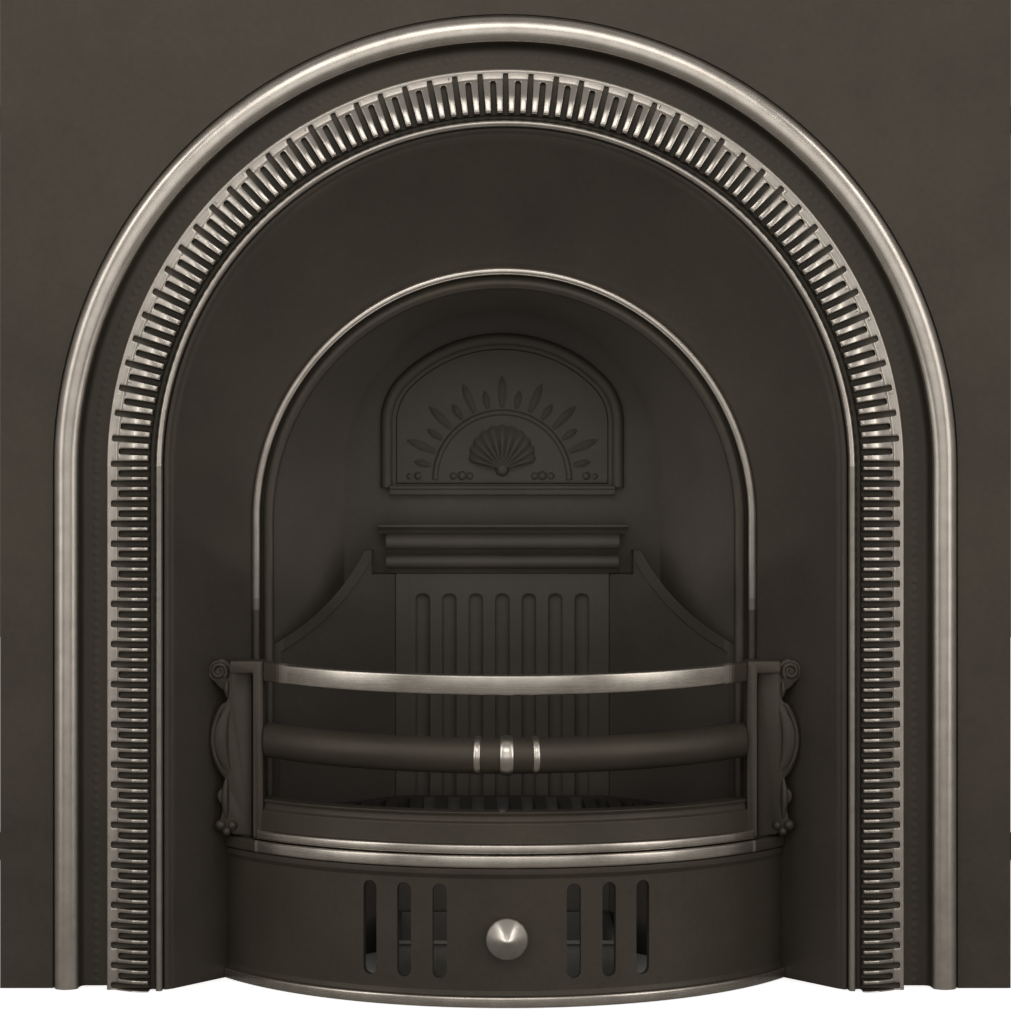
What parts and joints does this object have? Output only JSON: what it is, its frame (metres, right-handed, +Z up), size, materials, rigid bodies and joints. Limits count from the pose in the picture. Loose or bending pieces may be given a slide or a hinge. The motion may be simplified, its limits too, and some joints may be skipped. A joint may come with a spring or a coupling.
{
  "type": "arched cast iron fireplace insert",
  "caption": "Arched cast iron fireplace insert: flat front plate, fluted polished arch, splayed reveal, bowed fire bars, register door and pull-out ash pan cover.",
  "frame": {"origin": "middle of the bounding box's bottom face: on the hearth line (Z = 0), midway between the sides, and midway in depth between the knob's tip and the register hinge ears. The front plate's face is the plane Y = -0.061", "axes": "+X to the right for someone who faces the fireplace, +Y back into the chimney, +Z up"},
  "size_m": [1.001, 0.346, 0.965],
  "materials": {
    "black_iron": "black grate polish, satin",
    "sooty_iron": "dull black, sooty",
    "polished_iron": "hand polished, bright",
    "fastener_steel": "blackened steel",
    "sheet_steel": "black sheet steel"
  },
  "bodies": {
    "surround": {"front_plate": "black_iron", "arch_frame": "black_iron", "fluted_crown": "polished_iron", "left_fluted_leg": "polished_iron", "right_fluted_leg": "polished_iron", "splay_arch": "black_iron", "inner_arch_ring": "black_iron", "throat_shell": "sooty_iron", "upper_fireback": "sooty_iron", "lower_fireback": "sooty_iron", "cornice_shelf": "sooty_iron", "left_cheek": "sooty_iron", "right_cheek": "sooty_iron", "hinge_pins": "fastener_steel", "left_bracket": "black_iron", "right_bracket": "black_iron", "bracket_bolts": "fastener_steel", "grate_carrier": "sooty_iron", "frame_studs": "fastener_steel", "frame_nuts": "fastener_steel", "moulding_studs": "fastener_steel", "moulding_nuts": "fastener_steel", "throat_bolts": "fastener_steel", "throat_nuts": "fastener_steel", "fireback_bolts": "fastener_steel", "fireback_nuts": "fastener_steel"},
    "register": {"register_door": "sooty_iron", "shell_ornament": "sooty_iron"},
    "fire_front": {"fire_front": "black_iron", "top_bar": "polished_iron", "middle_bar": "black_iron", "bar_collars": "polished_iron", "bar_rivets": "black_iron"},
    "bottom_grate": {"bottom_grate": "sooty_iron"},
    "ash_pan_cover": {"ash_pan_cover": "black_iron", "cover_knob": "polished_iron", "knob_stud": "fastener_steel", "knob_nut": "fastener_steel"},
    "ash_pan": {"ash_pan": "sheet_steel", "pan_handle": "sheet_steel"}
  },
  "joints": [
    {"name": "register_hinge", "type": "hinge", "parent": "surround", "child": "register", "pos_m": [0, 0.165, 0.472], "axis": [-1, 0, 0], "range_deg": [0, 40]},
    {"name": "fire_front_lift", "type": "slide", "parent": "surround", "child": "fire_front", "axis": [0, 0, 1], "range_m": [0, 0.06]},
    {"name": "grate_lift", "type": "slide", "parent": "surround", "child": "bottom_grate", "axis": [0, 0, 1], "range_m": [0, 0.06]},
    {"name": "cover_pull", "type": "slide", "parent": "surround", "child": "ash_pan_cover", "axis": [0, -1, 0], "range_m": [0, 0.25]},
    {"name": "ash_pan_slide", "type": "slide", "parent": "surround", "child": "ash_pan", "axis": [0, -1, 0], "range_m": [0, 0.2]}
  ],
  "couplings": [
    {"joint": "ash_pan_slide", "follows": "cover_pull", "ratio": 0.8}
  ]
}
